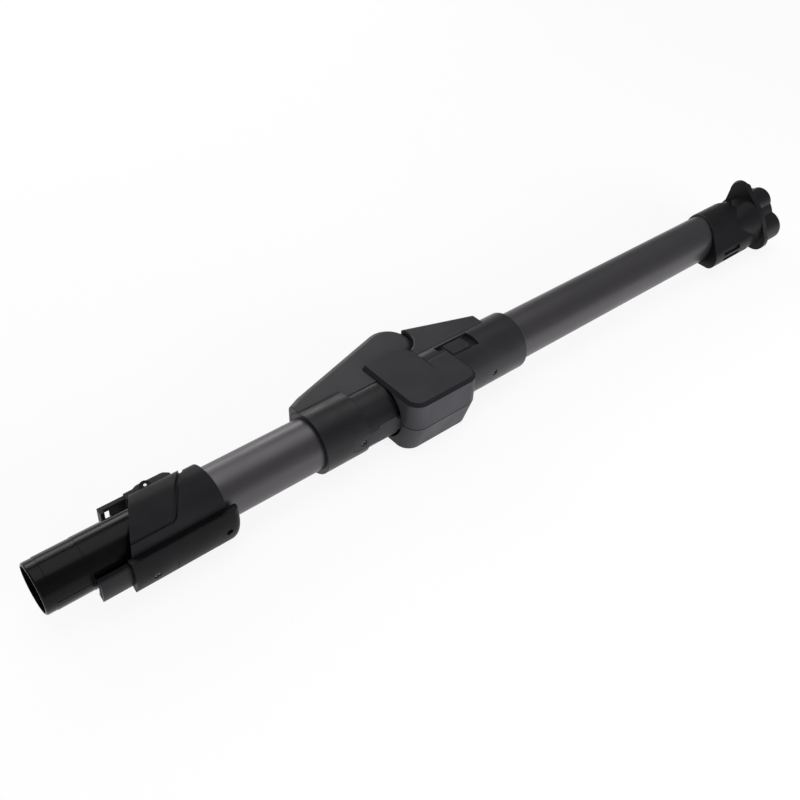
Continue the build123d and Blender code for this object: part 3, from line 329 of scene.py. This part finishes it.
# painted shade on the box's parting line, its chamfer and part of its top face
boxy = moulded("box_plastic_look", (0.033, 0.0333, 0.0375), rough=0.5, painted_shade_of=box_painted_shade)
dark = moulded("latch_plastic_look", (0.008, 0.008, 0.009), rough=0.42)
socket = moulded("socket_plastic_look", (0.005, 0.005, 0.0058), rough=0.4, shine=0.2)
pipe = glossy("pipe_plastic_look", (0.0014, 0.0014, 0.0016), rough=0.23)
tube = anodised("tube_aluminium_look", (0.104, 0.099, 0.107), rough=0.4)
steel = metal("pin_steel_look", (0.62, 0.62, 0.61), rough=0.3, scratch=0.1)
black_steel = metal("screw_steel_look", (0.15, 0.15, 0.155), rough=0.34, scratch=0.15)
brass = metal("contact_brass_look", (0.72, 0.5, 0.24), rough=0.3, scratch=0.1)
hose = rubbery("hose_rubber_look", (0.014, 0.014, 0.014))

looks = {
    "plug_pipe": pipe, "plug_sleeve": plug_shell, "plug_side_panels": plug_shell, "release_lever": lever,
    "lever_pin": steel, "lever_spring": steel, "plug_pod": pod, "plug_shroud": dark,
    "plug_contacts": brass, "plug_tube": tube, "plug_joint_sleeve": shell, "lock_tongue": tongue,
    "plug_hinge_cover": cover, "plug_hose_cuff": hose, "bellows_hose": hose, "socket_hose_cuff": hose,
    "socket_joint_sleeve": painted_lit_shell, "socket_hinge_cover": cover, "hinge_pin": steel,
    "latch_box_upper": boxy, "latch_box_lower": boxy, "release_slider": dark, "lock_pawl": dark,
    "pawl_pin": steel, "socket_tube": tube, "socket_end_sleeve": socket,
    "socket_collar": socket, "socket_seal": hose, "socket_contacts": brass,
    "plug_screws": black_steel, "socket_screws": black_steel,
}
for node, look in looks.items():
    for node_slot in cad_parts[node].material_slots:
        node_slot.material = look


# Pieces

def piece_of(name, mesh, look, smooth=True, crease=None):
    """An object from a mesh, with its look; edges past a crease's angle stay sharp."""
    built = bpy.data.objects.new(name, mesh)
    scene.collection.objects.link(built)
    mesh.materials.append(look)
    if smooth:
        for face in mesh.polygons:
            face.use_smooth = True
    if crease is not None:
        mesh.set_sharp_from_angle(angle=math.radians(crease))
    return built


def mesh_of(shape, name):
    """A mesh from a bmesh, which is freed."""
    mesh = bpy.data.meshes.new(name)
    shape.to_mesh(mesh)
    shape.free()
    return mesh


def solid_of(node):
    """A bmesh of a node's mesh, with its faces joined up."""
    shape = bmesh.new()
    shape.from_mesh(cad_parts[node].data)
    bmesh.ops.remove_doubles(shape, verts=shape.verts, dist=WELD)
    return shape


def plain_mesh_of(shape, name):
    """A mesh with only the vertices and faces of a bmesh, which is freed."""
    shape.verts.index_update()
    mesh = bpy.data.meshes.new(name)
    mesh.from_pydata([v.co[:] for v in shape.verts], [], [[v.index for v in f.verts] for f in shape.faces])
    shape.free()
    return mesh


def walled(shape, rings):
    """Faces between rings of vertices, with both ends closed."""
    for below, above in zip(rings, rings[1:]):
        for k in range(len(below)):
            after = (k + 1) % len(below)
            shape.faces.new((below[k], below[after], above[after], above[k]))
    shape.faces.new(rings[-1])
    shape.faces.new(list(reversed(rings[0])))


def bellows(name, first, last, pleats, crest, root, wall):
    """Pleated hose along X, with an outer and an inner skin."""
    turns, steps_each, blunt = 72, 10, 0.8
    steps = pleats * steps_each
    outer = []
    for i in range(steps + 1):
        wave = 0.5 - 0.5 * math.cos(2 * math.pi * pleats * i / steps)
        outer.append((first + (last - first) * i / steps, root + (crest - root) * wave ** blunt))
    profile = outer + [(x, r - wall) for x, r in reversed(outer)]
    shape = bmesh.new()
    rings = []
    for x, r in profile:
        ring = []
        for k in range(turns):
            angle = 2 * math.pi * k / turns
            ring.append(shape.verts.new((x, r * math.cos(angle), r * math.sin(angle))))
        rings.append(ring)
    for i, ring in enumerate(rings):
        after = rings[(i + 1) % len(rings)]
        for k in range(turns):
            shape.faces.new((ring[k], after[k], after[(k + 1) % turns], ring[(k + 1) % turns]))
    bmesh.ops.recalc_face_normals(shape, faces=shape.faces)
    return piece_of(name, mesh_of(shape, name), hose)


def screw(name, x, radius, angle, body):
    """Button-head screw with a six-lobed recess, sunk in a boss on the skin."""
    head_r, head_h, sunk, recess_r, recess_deep = 1.9, 1.0, 0.25, 1.2, 0.75
    dome = ((0.62, 1.0), (0.4, 0.985), (0.24, 0.93), (0.12, 0.84), (0.05, 0.7))  # depth, share of head_r
    lip_deep, lip_share, edge_deep = 0.02, 1.06, 0.09
    lobes, lobe_share = 6, 0.14
    turns, crease = 48, 40
    shape = bmesh.new()

    def ring(r_of, deep):
        made = []
        for k in range(turns):
            a = 2 * math.pi * k / turns
            made.append(shape.verts.new((r_of(a) * math.cos(a), r_of(a) * math.sin(a), -sunk - deep)))
        return made

    def star(a):
        return recess_r * (1 - lobe_share + lobe_share * math.cos(lobes * a))

    rings = [ring(lambda a: head_r, head_h)]
    for deep, share in dome:
        rings.append(ring(lambda a, share=share: head_r * share, deep))
    rings.append(ring(lambda a: star(a) * lip_share, lip_deep))
    rings.append(ring(star, edge_deep))
    rings.append(ring(star, recess_deep))
    walled(shape, rings)
    out = Vector((0, math.cos(math.radians(angle)), math.sin(math.radians(angle))))
    along = Vector((1, 0, 0))
    turn = Matrix((along, out.cross(along), out)).transposed().to_4x4()
    turn.translation = Vector((x, 0, 0)) + out * radius
    bmesh.ops.transform(shape, matrix=Matrix.Scale(MM, 4) @ turn, verts=shape.verts)
    bmesh.ops.recalc_face_normals(shape, faces=shape.faces)
    built = piece_of(name, mesh_of(shape, name), black_steel, crease=crease)
    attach(built, body)
    return built


def collar(name, node):
    """The collar from its solid, with its far side left round and a slimmer top petal."""
    round_r, flange_end, past = 19.4 * MM, 646 * MM, 0.01 * MM
    round_from, round_to = -25, 50  # degrees about the axis, from +Y to +Z
    petal_middle, petal_foot, petal_share = 3.4 * MM, 15 * MM, 0.8
    crease = 35
    shape = solid_of(node)
    for vert in shape.verts:
        x, y, z = vert.co
        reach, turn = math.hypot(y, z), math.degrees(math.atan2(z, y))
        if x > flange_end - past and round_from < turn < round_to and reach > round_r:
            share = round_r / reach
            vert.co = (x, y * share, z * share)
        elif x < flange_end and y > petal_middle and z > petal_foot and reach > round_r:
            vert.co = (x, petal_middle + (y - petal_middle) * petal_share, z)
    built = piece_of(name, plain_mesh_of(shape, name), socket, crease=crease)
    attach(built, "socket_half")
    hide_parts(node)


def slider_pad(name, node):
    """Finger pad on the slider's tab, a rounded plate with a soft rim."""
    length, low, high, corner, inset = 16.4, -6.2, 4.2, 1.6, 0.5
    rim = ((-0.05, 0.0), (0.4, 0.0), (0.55, 0.08), (0.65, 0.25), (0.68, 0.5))  # rise, draw inwards
    turns, crease = 8, 50
    edge_x, base = (c / MM for c in (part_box(node)[1][0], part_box(node)[1][2]))
    corners = (
        (edge_x - inset - corner, high - corner, 0),
        (edge_x - inset - length + corner, high - corner, 90),
        (edge_x - inset - length + corner, low + corner, 180),
        (edge_x - inset - corner, low + corner, 270),
    )
    shape = bmesh.new()
    rings = []
    for rise, draw in rim:
        ring = []
        for x, y, start in corners:
            for k in range(turns + 1):
                angle = math.radians(start + 90 * k / turns)
                reach = corner - draw
                across, along = reach * math.cos(angle), reach * math.sin(angle)
                ring.append(shape.verts.new((x + across, y + along, base + rise)))
        rings.append(ring)
    walled(shape, rings)
    bmesh.ops.transform(shape, matrix=Matrix.Scale(MM, 4), verts=shape.verts)
    built = piece_of(name, mesh_of(shape, name), slider, crease=crease)
    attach(built, "release_slider")


def catch_ramp(name):
    """Ramp at the back of the window in the lever's tongue."""
    front, back, half, turn = 56.2, 61.4, 5.2, 8
    outer, thin, thick = 22.8, 0.8, 2.2
    profile = ((front, outer - thin), (back, outer - thick), (back, outer), (front, outer))
    shape = bmesh.new()
    sides = []
    for across in (-half, half):
        sides.append([shape.verts.new((x, reach, across)) for x, reach in profile])
    walled(shape, sides)
    place = Matrix.Scale(MM, 4) @ Matrix.Rotation(math.radians(turn), 4, "X")
    bmesh.ops.transform(shape, matrix=place, verts=shape.verts)
    bmesh.ops.recalc_face_normals(shape, faces=shape.faces)
    built = piece_of(name, mesh_of(shape, name), lever, smooth=False)
    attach(built, "release_lever")


def leaf(name, node):
    """The lever's leaf spring from its solid, cut across into short lengths."""
    lengths, on_cut = 24, 0.001 * MM
    low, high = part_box(node)
    shape = solid_of(node)
    for k in range(1, lengths):
        cut = Vector((low[0] + (high[0] - low[0]) * k / lengths, 0, 0))
        whole = shape.verts[:] + shape.edges[:] + shape.faces[:]
        bmesh.ops.bisect_plane(shape, geom=whole, plane_co=cut, plane_no=(1, 0, 0), dist=on_cut)
    built = piece_of(name, plain_mesh_of(shape, name), steel, smooth=False)
    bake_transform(built)
    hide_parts(node)


leaf("leaf_spring", "lever_spring")
catch_ramp("catch_ramp")
slider_pad("slider_pad", "release_slider")
collar("collar", "socket_collar")
skin = bellows(
    "bellows", first=213 * MM, last=325 * MM, pleats=28, crest=16.5 * MM, root=14.9 * MM, wall=0.7 * MM
)
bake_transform(skin)
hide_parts("bellows_hose")

pod_screw = screw("plug_pod_screw", x=58.5, radius=28.4, angle=195, body="plug_half")
screw("tongue_screw", x=209, radius=21.3, angle=180, body="plug_half")
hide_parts("plug_screws")
sleeve_screw = screw("socket_sleeve_screw", x=325, radius=21.6, angle=180, body="socket_half")
screw("socket_pod_screw", x=619.5, radius=28.5, angle=198, body="socket_half")
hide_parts("socket_screws")


# Stage

def paper():
    """White paper that keeps a trace of shadow and turns plain white with distance."""
    near, far = 0.7, 2.5
    near_white, far_white = 0.86, 1.0
    pale, rough = (0.9, 0.9, 0.9, 1), 0.9
    material, nodes, links, shader, place = start_material("paper")
    shader.inputs["Base Color"].default_value = pale
    shader.inputs["Roughness"].default_value = rough
    glow = nodes.new("ShaderNodeEmission")
    glow.inputs["Color"].default_value = WHITE
    path = nodes.new("ShaderNodeLightPath").outputs
    seen = joined(nodes, links, "MAXIMUM", path["Is Camera Ray"], path["Is Glossy Ray"])
    seen = joined(nodes, links, "MAXIMUM", seen, path["Is Transmission Ray"])
    away = nodes.new("ShaderNodeVectorMath")
    away.operation = "LENGTH"
    links.new(place, away.inputs[0])
    whiter = ranged(nodes, links, away.outputs["Value"], near, far, near_white, far_white)
    mixed = nodes.new("ShaderNodeMixShader")
    links.new(joined(nodes, links, "MULTIPLY", seen, whiter), mixed.inputs["Fac"])
    links.new(shader.outputs[0], mixed.inputs[1])
    links.new(glow.outputs[0], mixed.inputs[2])
    links.new(mixed.outputs[0], nodes["Material Output"].inputs["Surface"])
    return material


def studio():
    """A world that lights softly and looks white to the camera."""
    soft, full = 0.22, 1.0
    world = bpy.data.worlds.new("studio")
    world.use_nodes = True
    nodes = world.node_tree.nodes
    links = world.node_tree.links
    sky = nodes["Background"]
    sky.inputs["Color"].default_value = WHITE
    sky.inputs["Strength"].default_value = soft
    white = nodes.new("ShaderNodeBackground")
    white.inputs["Color"].default_value = WHITE
    white.inputs["Strength"].default_value = full
    path = nodes.new("ShaderNodeLightPath").outputs
    choose = nodes.new("ShaderNodeMixShader")
    links.new(path["Is Camera Ray"], choose.inputs["Fac"])
    links.new(sky.outputs[0], choose.inputs[1])
    links.new(white.outputs[0], choose.inputs[2])
    links.new(choose.outputs[0], nodes["World Output"].inputs["Surface"])
    return world


def lamp(name, place, aim, size, power, mirrored=True):
    """A soft lamp; one that isn't mirrored leaves no highlight of its own."""
    light = bpy.data.lights.new(name, "AREA")
    light.shape = "RECTANGLE"
    light.size, light.size_y = size
    light.energy = power
    built = bpy.data.objects.new(name, light)
    built.location = place
    built.rotation_euler = (Vector(aim) - Vector(place)).to_track_quat("-Z", "Y").to_euler()
    built.visible_glossy = mirrored
    scene.collection.objects.link(built)


floor_size, floor_middle, floor_gap = 8, 0.33, 0.0004
floor_z = cad_box[0][2] - floor_gap
bpy.ops.mesh.primitive_plane_add(size=floor_size, location=(floor_middle, 0, floor_z))
floor = bpy.context.object
floor.name = "floor"
floor.data.materials.append(paper())
scene.world = studio()

lamp("front_lamp", (0.6, -1.4, 0.35), aim=(0.4, 0, 0), size=(1.3, 0.7), power=34, mirrored=False)
lamp("side_lamp", (-1.1, -0.3, 0.5), aim=(0.5, 0, 0), size=(0.8, 0.8), power=6, mirrored=False)
lamp("top_lamp", (0.4, 0.2, 1.5), aim=(0.3, 0, 0), size=(1.4, 1.4), power=9)
lamp("back_lamp", (0.4, 1.2, 0.55), aim=(0.4, 0, 0), size=(1.4, 0.4), power=7)

camera = bpy.data.cameras.new("camera")
camera.sensor_width = 36
camera.lens = 41.79
view = bpy.data.objects.new("camera", camera)
right = Vector((0.76391, -0.64460, 0.03042))
up = Vector((0.40550, 0.51616, 0.75442))
back = right.cross(up)
stand = Matrix((right, up, back)).transposed().to_4x4()
stand.translation = Vector((-0.058006, -0.353668, 0.407463))
view.matrix_world = stand
scene.collection.objects.link(view)
scene.camera = view
